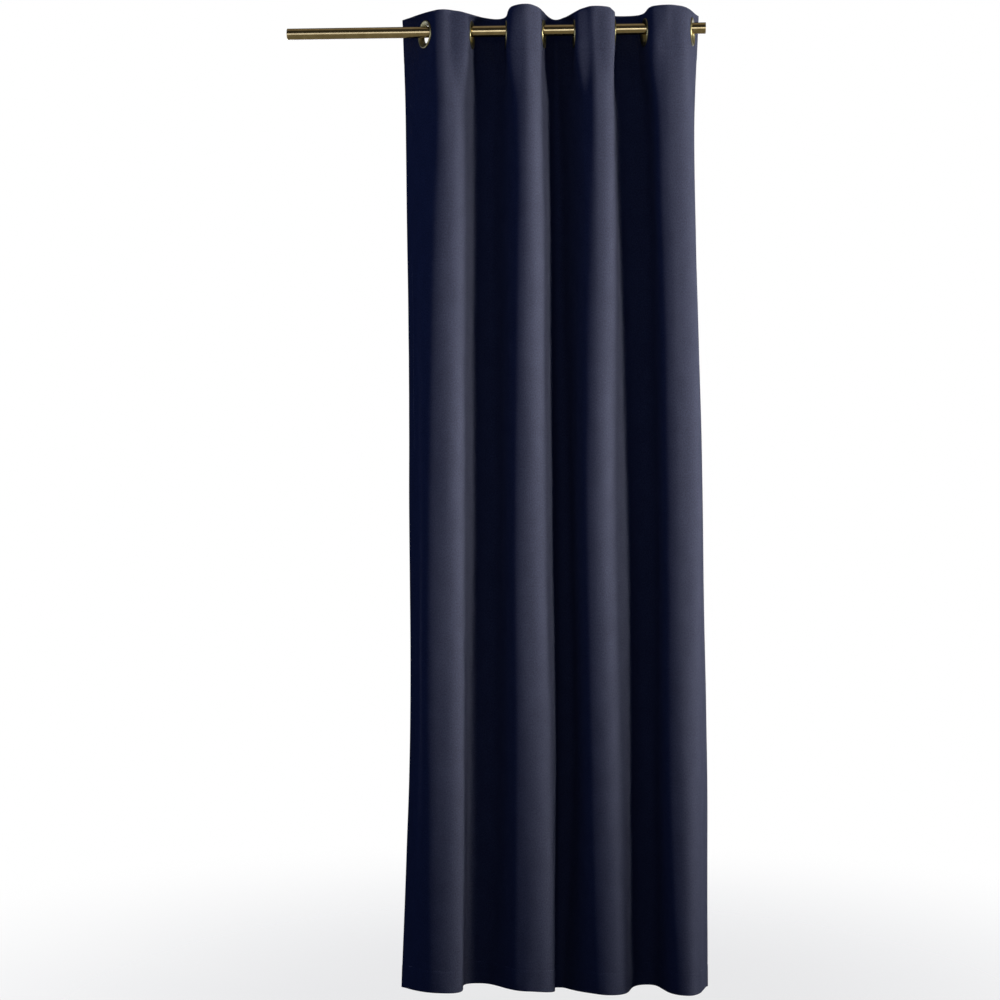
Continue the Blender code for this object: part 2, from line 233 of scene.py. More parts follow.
def smooth_values(heights, values, at):
    """Values at each height in an array, on a smooth curve through values from the top down."""
    heights, values = np.array(heights, float), np.array(values, float)
    last = len(heights) - 1
    before, after = np.maximum(np.arange(last + 1) - 1, 0), np.minimum(np.arange(last + 1) + 1, last)
    slopes = (values[after] - values[before]) / (heights[after] - heights[before])
    at = np.clip(at, heights[-1], heights[0])
    span = np.clip(np.searchsorted(-heights, -at, side="right") - 1, 0, last - 1)
    drop = heights[span + 1] - heights[span]
    t = (at - heights[span]) / drop
    t2, t3 = t * t, t * t * t
    return (
        (2 * t3 - 3 * t2 + 1) * values[span]
        + (t3 - 2 * t2 + t) * slopes[span] * drop
        + (3 * t2 - 2 * t3) * values[span + 1]
        + (t3 - t2) * slopes[span + 1] * drop
    )


def add_piece(name, mesh, finish):
    """A new object of the curtain, riding with the rod, with this finish in its one material slot."""
    obj = bpy.data.objects.new(name, mesh)
    bpy.context.scene.collection.objects.link(obj)
    obj.data.materials.clear()
    obj.data.materials.append(finish)
    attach(obj, BODY)
    return obj


def applied(obj):
    """Replaces an object's mesh by the one that its modifiers make."""
    graph = bpy.context.evaluated_depsgraph_get()
    mesh = bpy.data.meshes.new_from_object(obj.evaluated_get(graph))
    obj.modifiers.clear()
    obj.data = mesh
    return obj


# ---------------------------------------------------------------- the cloth's shape

def drop_fraction(heights):
    return np.clip((HEADING_TOP - heights) / (HEADING_TOP - HEM), 0.0, 1.0)


def lean_at(leans, heights):
    down = drop_fraction(heights)
    return np.radians(leans[0] * (1 - down) + leans[1] * down)


def turns_at(heights):
    """For every turn, arrays over the heights: x, y, roundness to its left and to its right."""
    down = drop_fraction(heights)
    found = []
    for turn in TURNS:
        places = (turn.x_top, turn.x_upper, turn.x_middle, turn.x_lower, turn.x_hem)
        depths = (turn.y_top, turn.y_middle, turn.y_hem)
        roundness = turn.round_top * (1 - down) + turn.round_hem * down
        skew = turn.skew_hem * down
        found.append((
            smooth_values(X_HEIGHTS, places, heights),
            smooth_values(Y_HEIGHTS, depths, heights),
            roundness * (1 - skew),
            roundness * (1 + skew),
        ))
    return found


def flank(start, end, length, start_lean, end_lean):
    """The S-shaped runs of cloth between two turns, one for each height, as (height, step, xy).
    Their Bezier handles are just long enough for each run to take up this length of cloth."""
    t = np.linspace(0, 1, CURVE_STEPS + 1)[None, :, None]
    u = 1 - t
    first = np.column_stack(start[:2])[:, None, :]
    last = np.column_stack(end[:2])[:, None, :]
    leave = (start[3][:, None] * np.column_stack([np.cos(start_lean), np.sin(start_lean)]))[:, None, :]
    arrive = (end[2][:, None] * np.column_stack([np.cos(end_lean), np.sin(end_lean)]))[:, None, :]
    low = np.zeros(len(first))
    high = np.full(len(first), length * 2)

    def run(reach):
        pull = reach[:, None, None]
        return (
            u**3 * first
            + 3 * u * u * t * (first + pull * leave)
            + 3 * u * t * t * (last - pull * arrive)
            + t**3 * last
        )

    for _ in range(HALVINGS):
        middle = (low + high) / 2
        steps = np.diff(run(middle), axis=1)
        short = np.hypot(steps[..., 0], steps[..., 1]).sum(axis=1) < length
        low = np.where(short, middle, low)
        high = np.where(short, high, middle)
    return run(low)


def fold_plan(across, heights):
    """The folds' x and y at every height and place across, before the eyelets press them flat."""
    turns = turns_at(heights)
    level = np.zeros(len(heights))
    reached, runs = [], []
    begun = 0.0
    for i, (start, end) in enumerate(zip(turns, turns[1:])):
        length = END_TURN if i in (0, len(turns) - 2) else EYELET_PITCH
        start_lean = lean_at(LEFT_EDGE_LEANS, heights) if i == 0 else level
        end_lean = lean_at(RIGHT_EDGE_LEANS, heights) if i == len(turns) - 2 else level
        points = flank(start, end, length, start_lean, end_lean)
        steps = np.hypot(*np.moveaxis(np.diff(points, axis=1), 2, 0))
        run = np.concatenate([np.zeros((len(heights), 1)), np.cumsum(steps, axis=1)], axis=1)
        skip = 1 if i else 0
        reached.append((begun + run / run[:, -1:] * length)[:, skip:])
        runs.append(points[:, skip:])
        begun += length
    reached, runs = np.concatenate(reached, axis=1), np.concatenate(runs, axis=1)
    plan = np.empty((len(heights), len(across), 2))
    for j in range(len(heights)):
        for k in range(2):
            plan[j, :, k] = np.interp(across, reached[j], runs[j, :, k])
    return plan


def edge_rise(across, name):
    """The lift of the top edge or the hem at places across the cloth."""
    places = [0.0] + [END_TURN + EYELET_PITCH * i for i in range(len(TURNS) - 2)] + [CUT_WIDTH]
    i = np.clip(np.searchsorted(places, across, side="right") - 1, 0, len(places) - 2)
    rises = np.array([getattr(turn, name) for turn in TURNS])
    places = np.array(places)
    t = ease((across - places[i]) / (places[i + 1] - places[i]))
    return rises[i] * (1 - t) + rises[i + 1] * t


Eyelet = namedtuple("Eyelet", "across centre along front")


def eyelets():
    found = []
    for i, crossing in enumerate(CROSSINGS):
        angle = math.radians(crossing.degrees)
        forward = 1 if i % 2 == 0 else -1
        along = Vector((math.cos(angle), -forward * math.sin(angle), 0.0))
        front = along.cross(Vector((0, 0, 1)))
        centre = Vector((crossing.x, 0.0, -crossing.drop))
        found.append(Eyelet(SIDE_MARGIN + EYELET_PITCH * i, centre, along, front))
    return found


def eyelet_place(eyelet):
    """The matrix that puts a turned ring at its eyelet, with its Z axis to the cloth's front."""
    turn = Matrix((eyelet.along, eyelet.front.cross(eyelet.along), eyelet.front)).transposed()
    return Matrix.Translation(eyelet.centre) @ turn.to_4x4()


def middle_surface(across, heights):
    """The middle of the whole cloth at every height and place across, as (height, across, xyz)."""
    points = np.empty((len(heights), len(across), 3))
    points[..., :2] = fold_plan(across, heights)
    points[..., 2] = heights[:, None]
    held = eyelets()
    away = heights - sum(eyelet.centre.z for eyelet in held) / len(held)
    ease_along = np.where(away > 0, PATCH_EASE_ABOVE, PATCH_EASE_BELOW)
    away = np.abs(away)
    for eyelet in held:
        aside = np.abs(across - eyelet.across)
        past = np.hypot(
            (np.maximum(aside - PATCH_HALF, 0.0) / PATCH_EASE_ACROSS)[None, :],
            (np.maximum(away - PATCH_HALF, 0.0) / ease_along)[:, None],
        )
        pressed = (1 - ease(past))[..., None]
        flat = np.array(eyelet.centre)[None, :] + np.outer(across - eyelet.across, np.array(eyelet.along))
        points[..., :2] += pressed * (flat[None, :, :2] - points[..., :2])
    top = np.clip((heights - HEADING_TOP + TOP_RISE_FADE) / TOP_RISE_FADE, 0.0, 1.0)
    foot = np.clip((HEM + HEM_RISE_FADE - heights) / HEM_RISE_FADE, 0.0, 1.0)
    points[..., 2] += np.outer(top, edge_rise(across, "rise_top"))
    points[..., 2] += np.outer(foot, edge_rise(across, "rise_hem"))
    return points


def level_fronts(points):
    """At each point of the surface, the level direction that faces the front of the cloth."""
    along = np.gradient(points, axis=1)
    fronts = np.stack([along[..., 1], -along[..., 0], np.zeros(along.shape[:2])], axis=-1)
    return fronts / np.linalg.norm(fronts, axis=-1, keepdims=True)


def soft_noise(across, heights, ripple):
    """Smooth values of about -1 to 1 over the cloth, with features of about one cell."""
    rng = np.random.default_rng(ripple.seed)
    u = (across / ripple.cell_across) + 1.0
    v = ((HEADING_TOP - heights) / ripple.cell_height) + 1.0
    grid = rng.uniform(-1, 1, (int(v.max()) + 4, int(u.max()) + 4))

    def weights(at):
        cell = np.floor(at).astype(int)
        t = at - cell
        return cell, np.stack([
            (1 - t) ** 3, 3 * t**3 - 6 * t**2 + 4, -3 * t**3 + 3 * t**2 + 3 * t + 1, t**3
        ]) / 6

    (ui, uw), (vi, vw) = weights(u), weights(v)
    total = np.zeros((len(heights), len(across)))
    for a in range(4):
        for b in range(4):
            total += vw[a][:, None] * uw[b][None, :] * grid[np.ix_(vi + a - 1, ui + b - 1)]
    return total * 2


def crease_lift(across, heights):
    """How far the creases raise the cloth, over every height and place across."""
    total = np.zeros((len(heights), len(across)))
    place = np.stack(np.broadcast_arrays(across[None, :], heights[:, None]), axis=-1)
    for crease in CREASES:
        points = np.array(crease.points, float)
        nearest = np.full(total.shape, np.inf)
        lift = np.zeros(total.shape)
        for start, end in zip(points, points[1:]):
            way = end[:2] - start[:2]
            t = np.clip(((place - start[:2]) @ way) / (way @ way), 0.0, 1.0)
            gap = np.linalg.norm(place - (start[:2] + t[..., None] * way), axis=-1)
            closer = gap < nearest
            nearest = np.where(closer, gap, nearest)
            lift = np.where(closer, start[2] + t * (end[2] - start[2]), lift)
        total += lift * np.exp(-((nearest / crease.width) ** 2))
    for eyelet in eyelets():
        away = np.hypot(across[None, :] - eyelet.across, heights[:, None] - eyelet.centre.z)
        total *= ease((away - FLANGE_RADIUS - CREASE_EYELET_GAP) / CREASE_EYELET_FADE)
    return total


def surface_lift(across, heights):
    """All the small shape of the velvet's face: creases, undulation and the pull of the seams."""
    total = crease_lift(across, heights)
    free = ease((HEADING_SEAM + UNDULATION_START - heights) / UNDULATION_FADE)[:, None]
    for ripple in UNDULATIONS:
        total += free * ripple.lift * soft_noise(across, heights, ripple)
    for seam in (HEADING_SEAM, HEM_SEAM):
        away = (heights - seam)[:, None]
        pucker = PUCKER.lift * soft_noise(across, heights, PUCKER)
        total += pucker * np.exp(-((away / PUCKER_REACH) ** 2))
        total -= STITCH_PULL * np.exp(-((away / STITCH_PULL_REACH) ** 2))
    return total


# ---------------------------------------------------------------- the cloth's pieces

def turned_edge(height, up):
    """Rows that carry the cloth round its folded edge, from the back to the front or the reverse."""
    rows = []
    for degrees in (-60, -30, 0, 30, 60):
        angle = math.radians(degrees)
        rows.append((height + up * LAYER_OFFSET * (math.cos(angle) - 1), LAYER_OFFSET * math.sin(angle)))
    return rows if up > 0 else rows[::-1]


def sheet_rows():
    """The (height, offset) of every row of the sheet, from the foot of the turned-over heading, up
    its back, over the top edge, down the front, round the hem and up to the hem's stitching."""
    top, foot = HEADING_TOP - LAYER_OFFSET, HEM + LAYER_OFFSET
    rows = [(height, -LAYER_OFFSET) for height in np.linspace(HEADING_SEAM, top, BACK_HEADING_ROWS)]
    rows += turned_edge(HEADING_TOP, 1)
    front = [top, HEADING_TOP - EDGE_ROW_GAP]
    front += list(np.linspace(HEADING_TOP - FIRST_HEADING_ROW, HEADING_SEAM + SEAM_ROWS[0], HEADING_ROWS))
    front += [HEADING_SEAM + away for away in SEAM_ROWS[1:]]
    front += list(np.linspace(HEADING_SEAM - BODY_ROW_GAP, HEM_SEAM + BODY_ROW_GAP, BODY_ROWS))
    front += [HEM_SEAM + away for away in SEAM_ROWS]
    front += list(np.linspace(HEM_SEAM - FIRST_HEM_ROW, HEM + EDGE_ROW_GAP, HEM_ROWS)) + [foot]
    for height in front:
        hemmed = ease((height - HEADING_SEAM) / HEM_STEP + 0.5) + ease((HEM_SEAM - height) / HEM_STEP + 0.5)
        rows.append((height, SINGLE_OFFSET + (LAYER_OFFSET - SINGLE_OFFSET) * hemmed))
    rows += turned_edge(HEM, -1)
    return rows + [(height, -LAYER_OFFSET) for height in np.linspace(foot, HEM_SEAM, BACK_HEM_ROWS)]


def sheet_mesh(name, middle, across, heights):
    """A closed sheet of cloth on both sides of a grid of points, with a UV map that holds each
    point's place on the cloth."""
    faces_out = np.cross(np.gradient(middle, axis=0), np.gradient(middle, axis=1))
    faces_out *= CLOTH_THICKNESS / 2 / np.linalg.norm(faces_out, axis=-1, keepdims=True)
    rows, columns = middle.shape[:2]
    points = np.concatenate([(middle + faces_out).reshape(-1, 3), (middle - faces_out).reshape(-1, 3)])
    index = np.arange(rows * columns).reshape(rows, columns)
    behind = index + rows * columns
    pile = np.stack([index[:-1, :-1], index[1:, :-1], index[1:, 1:], index[:-1, 1:]], axis=-1).reshape(-1, 4)
    ground = pile[:, ::-1] + rows * columns
    rim = np.concatenate([index[0, ::-1], index[1:, 0], index[-1, 1:], index[-2:0:-1, -1]])
    rim_behind = np.concatenate([behind[0, ::-1], behind[1:, 0], behind[-1, 1:], behind[-2:0:-1, -1]])
    edge = np.stack([np.roll(rim, -1), rim, rim_behind, np.roll(rim_behind, -1)], axis=-1)
    faces = np.concatenate([pile, ground, edge])
    mesh = bpy.data.meshes.new(name)
    mesh.from_pydata(points.tolist(), [], faces.tolist())
    place = np.stack(np.broadcast_arrays(across[None, :], heights[:, None]), axis=-1).reshape(-1, 2)
    layer = mesh.uv_layers.new(name="cloth")
    layer.data.foreach_set("uv", np.tile(place, (2, 1))[faces.reshape(-1)].astype(np.float32).ravel())
    mesh.shade_smooth()
    mesh.set_sharp_from_angle(angle=CLOTH_SHARP_ANGLE)
    return mesh


def hole_cutter():
    """One mesh with a short drum at every eyelet, for cutting the cloth."""
    shape = bmesh.new()
    for eyelet in eyelets():
        bmesh.ops.create_cone(
            shape, cap_ends=True, segments=RING_SIDES, radius1=CLOTH_HOLE_RADIUS,
            radius2=CLOTH_HOLE_RADIUS, depth=HOLE_CUT_DEPTH, matrix=eyelet_place(eyelet),
        )
    mesh = bpy.data.meshes.new("eyelet_holes")
    shape.to_mesh(mesh)
    shape.free()
    cutter = bpy.data.objects.new("eyelet_holes", mesh)
    bpy.context.scene.collection.objects.link(cutter)
    return cutter


def make_cloth(velvet):
    """The velvet in one piece, with its turned-over heading and hem."""
    rows = sheet_rows()
    heights = np.array([row[0] for row in rows])
    offsets = np.array([row[1] for row in rows])
    across = np.linspace(0.0, CUT_WIDTH, COLUMNS + 1)
    points = middle_surface(across, heights)
    fronts = level_fronts(points)
    lift = surface_lift(across, heights) + offsets[:, None]
    mesh = sheet_mesh("curtain_cloth", points + fronts * lift[..., None], across, heights)
    cloth = add_piece("curtain_cloth", mesh, velvet)
    cutter = hole_cutter()
    cut = cloth.modifiers.new("eyelet holes", "BOOLEAN")
    cut.operation = "DIFFERENCE"
    cut.object = cutter
    applied(cloth)
    bpy.data.objects.remove(cutter)
    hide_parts("panel", "heading")
    return cloth


def make_side_hem(name, start, end, velvet):
    """A side hem's turned-back strip, behind the cloth between the heading's seam and the hem's."""
    heights = np.linspace(HEADING_SEAM - SIDE_HEM_END_GAP, HEM_SEAM + SIDE_HEM_END_GAP, SIDE_HEM_ROWS)
    across = np.linspace(start, end, SIDE_HEM_COLUMNS)
    points = middle_surface(across, heights)
    fronts = level_fronts(points)
    lift = surface_lift(across, heights) + SINGLE_OFFSET - CLOTH_THICKNESS - SIDE_HEM_CLEARANCE
    mesh = sheet_mesh(name, points + fronts * lift[..., None], across, heights)
    return add_piece(name, mesh, velvet)


# ---------------------------------------------------------------- brass

def turned_mesh(name, profile, sides):
    """A closed profile of (radius, reach) points turned round the Z axis."""
    shape = bmesh.new()
    rings = []
    for k in range(sides):
        around = 2 * math.pi * k / sides
        rings.append([shape.verts.new((r * math.cos(around), r * math.sin(around), z)) for r, z in profile])
    count = len(profile)
    for ring, after in zip(rings, rings[1:] + rings[:1]):
        for j in range(count):
            shape.faces.new((ring[j], after[j], after[(j + 1) % count], ring[(j + 1) % count]))
    bmesh.ops.recalc_face_normals(shape, faces=shape.faces)
    mesh = bpy.data.meshes.new(name)
    shape.to_mesh(mesh)
    shape.free()
    mesh.shade_smooth()
    mesh.set_sharp_from_angle(angle=BRASS_SHARP_ANGLE)
    return mesh


def front_profile():
    """A dished flange: its rim rolls up from the cloth and slopes down into the barrel."""
    crown = FLANGE_RADIUS - RIM_ROUND
    rise = FLANGE_CROWN_REACH - FLANGE_SEAT
    rim = [
        (crown + RIM_ROUND * math.cos(angle), FLANGE_SEAT + rise * math.sin(angle))
        for angle in (math.pi * k / (2 * FRONT_RIM_STEPS) for k in range(FRONT_RIM_STEPS + 1))
    ]
    slope = [
        (crown + (EYELET_BORE - crown) * share, FLANGE_CROWN_REACH - DISH_DEPTH * share ** DISH_CURVE)
        for share in (k / DISH_STEPS for k in range(1, DISH_STEPS + 1))
    ]
    barrel = [
        (EYELET_BORE, -BARREL_BACK_REACH), (BARREL_RADIUS, -BARREL_BACK_REACH),
        (BARREL_RADIUS, FLANGE_SEAT - BARREL_SHOULDER),
    ]
    return rim + slope + barrel + [(crown - FLANGE_UNDERCUT, FLANGE_SEAT)]


def back_profile():
    """A shallow ring with a stepped rim, pressed on behind the cloth."""
    edge = [
        (FLANGE_RADIUS - RIM_ROUND + RIM_ROUND * math.cos(angle),
         -BACK_RING_REACH + RIM_ROUND - RIM_ROUND * math.sin(angle))
        for angle in (math.pi * k / (2 * BACK_RIM_STEPS) for k in range(BACK_RIM_STEPS + 1))
    ]
    return [
        (CLOTH_HOLE_RADIUS, -BACK_RING_REACH), (CLOTH_HOLE_RADIUS, -FLANGE_SEAT),
        (FLANGE_RADIUS, -FLANGE_SEAT), *edge,
    ]


def make_eyelets(brass):
    front_mesh = turned_mesh("eyelet front ring", front_profile(), RING_SIDES)
    back_mesh = turned_mesh("eyelet back ring", back_profile(), RING_SIDES)
    rings = []
    for i, eyelet in enumerate(eyelets()):
        for side, mesh in (("front", front_mesh), ("back", back_mesh)):
            node = f"eyelet_{i + 1}_{side}"
            ring = bpy.data.objects.new(f"{node}_ring", mesh)
            bpy.context.scene.collection.objects.link(ring)
            if not mesh.materials:
                mesh.materials.append(brass)
            ring.matrix_world = eyelet_place(eyelet)
            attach(ring, BODY)
            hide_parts(node)
            rings.append(ring)
    return rings


def make_rod(brass):
    """The rod as a tube with softened square-cut ends."""
    low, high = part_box("rod")
    half = (high.x - low.x) / 2
    soft = ROD_END_ROUND
    bore = ROD_RADIUS - ROD_WALL
    profile = [
        (ROD_RADIUS - soft, -half), (ROD_RADIUS, -half + soft), (ROD_RADIUS, half - soft),
        (ROD_RADIUS - soft, half), (bore + soft, half), (bore, half - soft),
        (bore, -half + soft), (bore + soft, -half),
    ]
    rod = add_piece("rod_tube", turned_mesh("rod_tube", profile, ROD_SIDES), brass)
    middle = Matrix.Translation(((low.x + high.x) / 2, 0, 0))
    rod.matrix_world = middle @ Matrix.Rotation(math.pi / 2, 4, "Y")
    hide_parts("rod")
    return rod


# ---------------------------------------------------------------- stitching

def stitch_mesh(name, paths):
    """Small rounded threads along runs of points, each a short six-sided spindle."""
    shape = bmesh.new()
    for points, fronts in paths:
        steps = np.linalg.norm(np.diff(points, axis=0), axis=1)
        run = np.concatenate([[0.0], np.cumsum(steps)])
        for k in range(int(run[-1] / STITCH_PITCH)):
            middle = (k + 0.5) * STITCH_PITCH
            rings = []
            for share, width in STITCH_SHAPE:
                at = middle + share * STITCH_LENGTH
                centre = Vector([np.interp(at, run, points[:, a]) for a in range(3)])
                ahead = Vector([np.interp(at + STITCH_AHEAD, run, points[:, a]) for a in range(3)])
                up = Vector([np.interp(at, run, fronts[:, a]) for a in range(3)]).normalized()
                way = (ahead - centre).normalized()
                side = way.cross(up).normalized()
                sunk = -STITCH_RADIUS * STITCH_SINK * (abs(share) * 2) ** 2
                thick = STITCH_RADIUS * width
                rings.append([
                    shape.verts.new(centre + up * (sunk + math.sin(a) * thick) + side * (math.cos(a) * thick))
                    for a in (2 * math.pi * s / STITCH_SIDES for s in range(STITCH_SIDES))
                ])
            for ring, after in zip(rings, rings[1:]):
                for s in range(STITCH_SIDES):
                    beside = (s + 1) % STITCH_SIDES
                    shape.faces.new((ring[s], ring[beside], after[beside], after[s]))
            shape.faces.new(list(reversed(rings[0])))
            shape.faces.new(rings[-1])
    bmesh.ops.recalc_face_normals(shape, faces=shape.faces)
    mesh = bpy.data.meshes.new(name)
    shape.to_mesh(mesh)
    shape.free()
    mesh.shade_smooth()
    return mesh


def seam_path(across, heights):
    """Points of the velvet's face, and the way it faces, along a level or an upright seam."""
    points = middle_surface(across, heights)
    if len(across) == 1:
        beside = middle_surface(np.array([across[0] - SEAM_SAMPLE, across[0] + SEAM_SAMPLE]), heights)
        fronts = level_fronts(beside)[:, :1]
    else:
        fronts = level_fronts(points)
    face = surface_lift(across, heights) + SINGLE_OFFSET + CLOTH_THICKNESS / 2
    points = points + fronts * face[..., None]
    return points.reshape(-1, 3), fronts.reshape(-1, 3)


def make_stitching(thread):
    fine = np.linspace(LEVEL_SEAM_END_GAP, CUT_WIDTH - LEVEL_SEAM_END_GAP, LEVEL_SEAM_POINTS)
    down = np.linspace(HEADING_SEAM - SIDE_SEAM_END_GAP, HEM_SEAM + SIDE_SEAM_END_GAP, SIDE_SEAM_POINTS)
    stitched = []
    for name, paths in (
        ("heading_stitching", [seam_path(fine, np.array([HEADING_SEAM]))]),
        ("hem_stitching", [seam_path(fine, np.array([HEM_SEAM]))]),
        ("side_stitching", [seam_path(np.array([a]), down) for a in (SIDE_HEM, CUT_WIDTH - SIDE_HEM)]),
    ):
        stitched.append(add_piece(name, stitch_mesh(name, paths), thread))
    return stitched


# ---------------------------------------------------------------- materials

def new_material(name):
    made = bpy.data.materials.new(name)
    made.use_nodes = True
    return made, made.node_tree.nodes, made.node_tree.links, made.node_tree.nodes["Principled BSDF"]


def noise_node(nodes, links, coordinates, scale, detail, roughness, stretch=(1, 1, 1)):
    """A noise texture read from these coordinates, stretched by a mapping."""
    mapping = nodes.new("ShaderNodeMapping")
    mapping.inputs["Scale"].default_value = stretch
    links.new(coordinates, mapping.inputs["Vector"])
    noise = nodes.new("ShaderNodeTexNoise")
    noise.inputs["Scale"].default_value = scale
    noise.inputs["Detail"].default_value = detail
    noise.inputs["Roughness"].default_value = roughness
    links.new(mapping.outputs["Vector"], noise.inputs["Vector"])
    return noise


def ramp_node(nodes, links, factor, stops):
    ramp = nodes.new("ShaderNodeValToRGB")
    elements = ramp.color_ramp.elements
    while len(elements) < len(stops):
        elements.new(0.5)
    for element, (place, color) in zip(elements, stops):
        element.position = place
        element.color = (*color, 1.0)
    links.new(factor, ramp.inputs["Fac"])
    return ramp


def bump_node(nodes, links, height, strength, distance, before=None):
    bump = nodes.new("ShaderNodeBump")
    bump.inputs["Strength"].default_value = strength
    bump.inputs["Distance"].default_value = distance
    links.new(height, bump.inputs["Height"])
    if before:
        links.new(before.outputs["Normal"], bump.inputs["Normal"])
    return bump


def velvet_material():
    """Matt navy velvet: a cloudy nap, brushed a little lighter and darker, over a short pile."""
    made, nodes, links, shader = new_material("navy velvet")
    place = nodes.new("ShaderNodeUVMap")
    place.uv_map = "cloth"
    cloth = place.outputs["UV"]
    clouds = noise_node(nodes, links, cloth, 26.0, 5.0, 0.62, (1, 0.55, 1))
    ramp = ramp_node(nodes, links, clouds.outputs["Fac"], (
        (0.25, (0.084, 0.089, 0.128)), (0.75, (0.104, 0.110, 0.158)),
    ))
    pile = noise_node(nodes, links, cloth, 950.0, 3.0, 0.6)
    flecks = noise_node(nodes, links, cloth, 330.0, 2.0, 0.5, (1, 0.7, 1))
    shade = ramp.outputs["Color"]
    for texture, dark, light in ((flecks, 0.80, 1.20), (pile, 0.60, 1.40)):
        tint = ramp_node(nodes, links, texture.outputs["Fac"], (
            (0.28, (dark / 1.4,) * 3), (0.72, (light / 1.4,) * 3),
        ))
        grain = nodes.new("ShaderNodeMix")
        grain.data_type = "RGBA"
        grain.blend_type = "MULTIPLY"
        grain.inputs["Factor"].default_value = 1.0
        links.new(shade, grain.inputs["A"])
        links.new(tint.outputs["Color"], grain.inputs["B"])
        shade = grain.outputs["Result"]
    links.new(shade, shader.inputs["Base Color"])
    nap = noise_node(nodes, links, cloth, 110.0, 4.0, 0.55, (1, 0.6, 1))
    bump = bump_node(nodes, links, nap.outputs["Fac"], 0.30, 0.0010)
    bump = bump_node(nodes, links, pile.outputs["Fac"], 0.40, 0.0004, bump)
    links.new(bump.outputs["Normal"], shader.inputs["Normal"])
    shader.inputs["Roughness"].default_value = 0.95
    shader.inputs["Specular IOR Level"].default_value = 0.0
    shader.inputs["Sheen Weight"].default_value = 0.05
    shader.inputs["Sheen Roughness"].default_value = 0.45
    shader.inputs["Sheen Tint"].default_value = (0.55, 0.58, 0.80, 1.0)
    return made


def thread_material():
    made, nodes, links, shader = new_material("navy thread")
    where = nodes.new("ShaderNodeTexCoord")
    twist = noise_node(nodes, links, where.outputs["Object"], 1500.0, 1.0, 0.5)
    ramp = ramp_node(nodes, links, twist.outputs["Fac"], (
        (0.3, (0.05, 0.055, 0.10)), (0.7, (0.09, 0.095, 0.15)),
    ))
    links.new(ramp.outputs["Color"], shader.inputs["Base Color"])
    shader.inputs["Roughness"].default_value = 0.6
    return made


def brass_material(name, dark, light, roughness, along):
    """Brushed brass with fine streaks that run along the stretched axis, and a little mottling."""
    made, nodes, links, shader = new_material(name)
    where = nodes.new("ShaderNodeTexCoord")
    streaks = noise_node(nodes, links, where.outputs["Object"], 900.0, 3.0, 0.6, along)
    cloud = noise_node(nodes, links, where.outputs["Object"], 60.0, 3.0, 0.6)
    ramp = ramp_node(nodes, links, cloud.outputs["Fac"], ((0.3, dark), (0.7, light)))
    links.new(ramp.outputs["Color"], shader.inputs["Base Color"])
    rough = nodes.new("ShaderNodeMapRange")
    rough.inputs["To Min"].default_value = roughness - 0.06
    rough.inputs["To Max"].default_value = roughness + 0.08
    links.new(streaks.outputs["Fac"], rough.inputs["Value"])
    links.new(rough.outputs["Result"], shader.inputs["Roughness"])
    bump = bump_node(nodes, links, streaks.outputs["Fac"], 0.08, 0.0002)
    links.new(bump.outputs["Normal"], shader.inputs["Normal"])
    shader.inputs["Metallic"].default_value = 1.0
    return made


# ---------------------------------------------------------------- stage, light and camera

CAMERA_DISTANCE = 4.6
CAMERA_YAW = math.radians(3.38)
CAMERA_AIM = Vector((-0.1278, 0.0, -1.1745))
CAMERA_LENS = 66.1

FILL_COLOR = (0.16, 0.27, 0.85)
FILL_STRENGTH = 0.32

FLOOR_RADIUS = 3.0
FLOOR_SIDES = 128
FLOOR_DROP = 0.06
FLOOR_FADE_START = 0.4
FLOOR_FADE_END = 2.4

# Softboxes around the curtain: each stands this many degrees to the right of its front, level with
# the height that it lights. Its size is (width, height) in metres and its spread is in degrees.
LIGHT_DISTANCE = 8.0
WARM = (1.0, 0.985, 0.96)
Softbox = namedtuple("Softbox", "name azimuth height size power spread color")
SOFTBOXES = (
    Softbox("side_key", 80, -0.70, (3.2, 1.6), 28, 27, WARM),
    Softbox("front_key", 50, -0.70, (2.0, 1.6), 16.5, 27, WARM),
    Softbox("front_fill", 0, -0.90, (2.0, 2.0), 3.0, 60, (0.75, 0.82, 1.0)),
    Softbox("back_fill", 205, -0.70, (3.0, 2.0), 16, 35, WARM),
)

# What the brass mirrors, from straight down (0) through level (0.5) to straight up (1)
STUDIO_STRENGTH = 3.0
STUDIO_STOPS = (
    (0.00, (0.100, 0.100, 0.095)),
    (0.31, (0.110, 0.110, 0.100)),
    (0.36, (0.620, 0.690, 1.000)),
    (0.50, (0.620, 0.690, 1.000)),
    (0.55, (0.025, 0.025, 0.025)),
    (0.92, (0.018, 0.018, 0.018)),
    (1.00, (0.160, 0.150, 0.150)),
)


def make_camera():
    data = bpy.data.cameras.new("camera")
    data.lens = CAMERA_LENS
    data.sensor_width = 36.0
    camera = bpy.data.objects.new("camera", data)
    bpy.context.scene.collection.objects.link(camera)
    ahead = Vector((-math.sin(CAMERA_YAW), math.cos(CAMERA_YAW), 0.0))
    camera.location = CAMERA_AIM - ahead * CAMERA_DISTANCE
    camera.rotation_euler = ahead.to_track_quat("-Z", "Y").to_euler()
    bpy.context.scene.camera = camera


